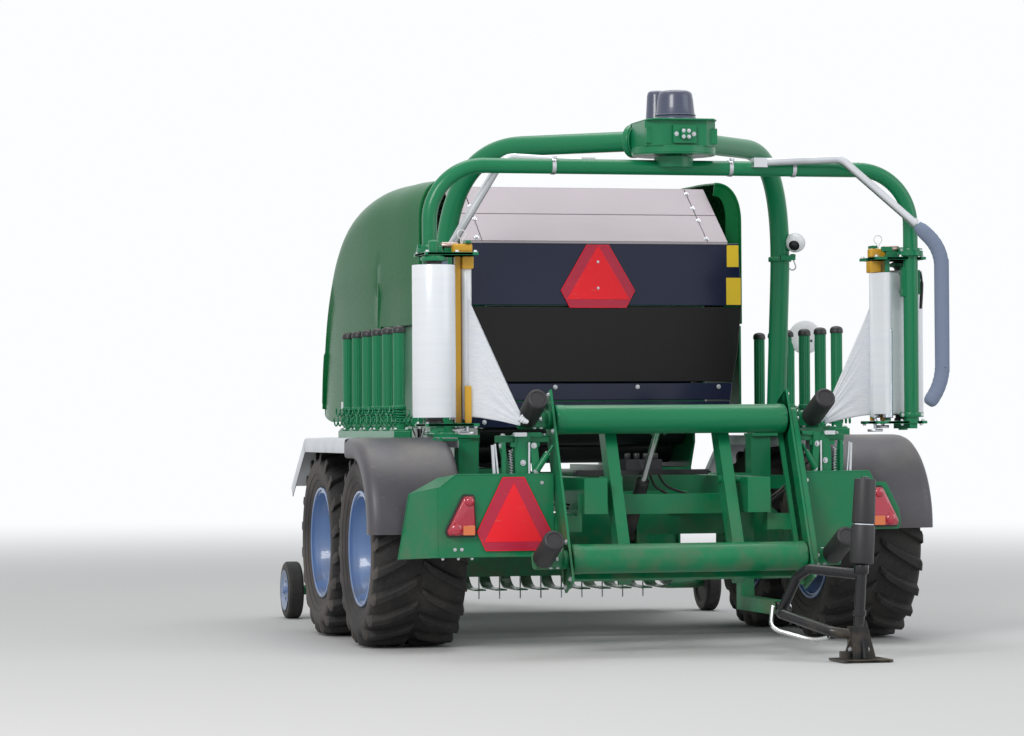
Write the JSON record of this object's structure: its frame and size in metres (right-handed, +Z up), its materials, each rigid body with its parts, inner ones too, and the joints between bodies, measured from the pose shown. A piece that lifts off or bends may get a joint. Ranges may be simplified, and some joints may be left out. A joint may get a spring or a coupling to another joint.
{
  "type": "round baler with satellite bale wrapper",
  "caption": "Towed round baler on a tandem axle with a rotating film wrapper, tipping table and bale turner behind it.",
  "frame": {"origin": "middle of the machine's length and width, on the floor", "axes": "+X to the machine's right, +Y forward towards the towing eye, +Z up"},
  "size_m": [3.02, 6.61, 2.85],
  "materials": {
    "green_paint": "glossy",
    "mauve_paint": "satin",
    "black_paint": "glossy",
    "steel": "satin",
    "rim_paint": "satin",
    "grey_plastic": "moulded",
    "slate_plastic": "moulded",
    "foam": "matte foam",
    "tyre": "matte",
    "film": "stretched film",
    "lamp_red": "clear lens",
    "yellow_paint": "satin",
    "aluminium": "turned",
    "white_plastic": "smooth"
  },
  "bodies": {
    "chassis": {"main_frame": "green_paint", "outriggers": "green_paint", "turner_carrier": "green_paint", "drawbar": "green_paint", "tow_eye": "steel", "gearbox": "black_paint", "axle_beams": "green_paint", "axle_saddles": "green_paint", "chamber_sides": "green_paint", "rack_panels": "green_paint", "chamber_rollers": "black_paint", "front_hood": "mauve_paint", "fenders": "grey_plastic", "light_boards": "green_paint", "tail_lamps": "lamp_red", "roll_racks": "green_paint", "arch": "green_paint", "slew_housing": "green_paint", "motor_caps": "slate_plastic", "camera": "white_plastic", "film_cutters": "green_paint"},
    "jack": {"jack_leg": "steel"},
    "left_door": {"door_left": "green_paint"},
    "right_door": {"door_right": "green_paint"},
    "tailgate": {"gate_frame": "green_paint", "gate_skins": "black_paint", "gate_top": "mauve_paint", "gate_rollers": "black_paint"},
    "gate_cylinders": {"gate_barrels": "black_paint"},
    "gate_pistons": {"gate_rods": "steel"},
    "satellite": {"sat_arm": "green_paint", "film_rolls": "film", "stretch_units": "yellow_paint", "stretch_rollers": "aluminium", "film_webs": "film", "guard_bars": "steel", "guard_foam": "foam"},
    "table": {"table_frame": "green_paint", "table_rollers": "black_paint"},
    "tilt_cylinder": {"tilt_barrel": "black_paint"},
    "tilt_piston": {"tilt_rod": "steel"},
    "turner": {"turner_frame": "black_paint", "turner_rollers": "black_paint"},
    "wheel_rear_left": {"tyre_rear_left": "tyre", "rim_rear_left": "rim_paint"},
    "wheel_rear_right": {"tyre_rear_right": "tyre", "rim_rear_right": "rim_paint"},
    "wheel_front_left": {"tyre_front_left": "tyre", "rim_front_left": "rim_paint"},
    "wheel_front_right": {"tyre_front_right": "tyre", "rim_front_right": "rim_paint"},
    "pickup": {"pickup_frame": "green_paint"},
    "reel": {"pickup_reel": "steel"},
    "gauge_left": {"gauge_wheel_left": "tyre"},
    "gauge_right": {"gauge_wheel_right": "tyre"}
  },
  "joints": [
    {"name": "satellite_turn", "type": "hinge", "parent": "chassis", "child": "satellite", "pos_m": [0, -2.155, 2.45], "axis": [0, 0, 1], "continuous": true},
    {"name": "tailgate_lift", "type": "hinge", "parent": "chassis", "child": "tailgate", "pos_m": [0, 0.265, 2.4], "axis": [-1, 0, 0], "range_deg": [0, 52]},
    {"name": "gate_cylinder_swing", "type": "hinge", "parent": "chassis", "child": "gate_cylinders", "pos_m": [0.7, 0.495, 1.35], "axis": [-1, 0, 0], "range_deg": [-1, 16]},
    {"name": "gate_piston_slide", "type": "slide", "parent": "gate_cylinders", "child": "gate_pistons", "axis": [0, -0.7557, 0.6549], "range_m": [0, 0.52]},
    {"name": "left_door_lift", "type": "hinge", "parent": "chassis", "child": "left_door", "pos_m": [-0.775, 0.545, 2.505], "axis": [0, 1, 0], "range_deg": [0, 60]},
    {"name": "right_door_lift", "type": "hinge", "parent": "chassis", "child": "right_door", "pos_m": [0.775, 0.545, 2.505], "axis": [0, -1, 0], "range_deg": [0, 60]},
    {"name": "table_tilt", "type": "hinge", "parent": "chassis", "child": "table", "pos_m": [0, -2.054, 0.867], "axis": [1, 0, 0], "range_deg": [-66, 0]},
    {"name": "tilt_cylinder_swing", "type": "hinge", "parent": "chassis", "child": "tilt_cylinder", "pos_m": [0, -1.255, 0.56], "axis": [1, 0, 0], "range_deg": [-1, 20]},
    {"name": "tilt_piston_slide", "type": "slide", "parent": "tilt_cylinder", "child": "tilt_piston", "axis": [0, -0.7195, 0.6945], "range_m": [-0.33, 0]},
    {"name": "turner_lift", "type": "hinge", "parent": "chassis", "child": "turner", "pos_m": [0.43, -2.515, 0.23], "axis": [-1, 0, 0], "range_deg": [0, 45]},
    {"name": "jack_slide", "type": "slide", "parent": "chassis", "child": "jack", "axis": [0, 0, 1], "range_m": [0, 0.3]},
    {"name": "pickup_lift", "type": "hinge", "parent": "chassis", "child": "pickup", "pos_m": [0, 1.265, 0.64], "axis": [1, 0, 0], "range_deg": [0, 12]},
    {"name": "reel_turn", "type": "hinge", "parent": "pickup", "child": "reel", "pos_m": [0, 1.605, 0.34], "axis": [1, 0, 0], "continuous": true},
    {"name": "gauge_left_turn", "type": "hinge", "parent": "pickup", "child": "gauge_left", "pos_m": [-1.3, 1.528, 0.17], "axis": [1, 0, 0], "continuous": true},
    {"name": "gauge_right_turn", "type": "hinge", "parent": "pickup", "child": "gauge_right", "pos_m": [1.3, 1.528, 0.17], "axis": [1, 0, 0], "continuous": true},
    {"name": "wheel_rear_left_turn", "type": "hinge", "parent": "chassis", "child": "wheel_rear_left", "pos_m": [-1.231, -1.288, 0.511], "axis": [1, 0, 0], "continuous": true},
    {"name": "wheel_rear_right_turn", "type": "hinge", "parent": "chassis", "child": "wheel_rear_right", "pos_m": [1.231, -1.288, 0.511], "axis": [1, 0, 0], "continuous": true},
    {"name": "wheel_front_left_turn", "type": "hinge", "parent": "chassis", "child": "wheel_front_left", "pos_m": [-1.231, -0.218, 0.511], "axis": [1, 0, 0], "continuous": true},
    {"name": "wheel_front_right_turn", "type": "hinge", "parent": "chassis", "child": "wheel_front_right", "pos_m": [1.231, -0.218, 0.511], "axis": [1, 0, 0], "continuous": true}
  ],
  "couplings": [
    {"joint": "gate_cylinder_swing", "follows": "tailgate_lift", "ratio": 0.2614},
    {"joint": "gate_piston_slide", "follows": "tailgate_lift", "m_per_rad": 0.54868},
    {"joint": "tilt_cylinder_swing", "follows": "table_tilt", "ratio": -0.26031},
    {"joint": "tilt_piston_slide", "follows": "table_tilt", "m_per_rad": 0.26879}
  ]
}
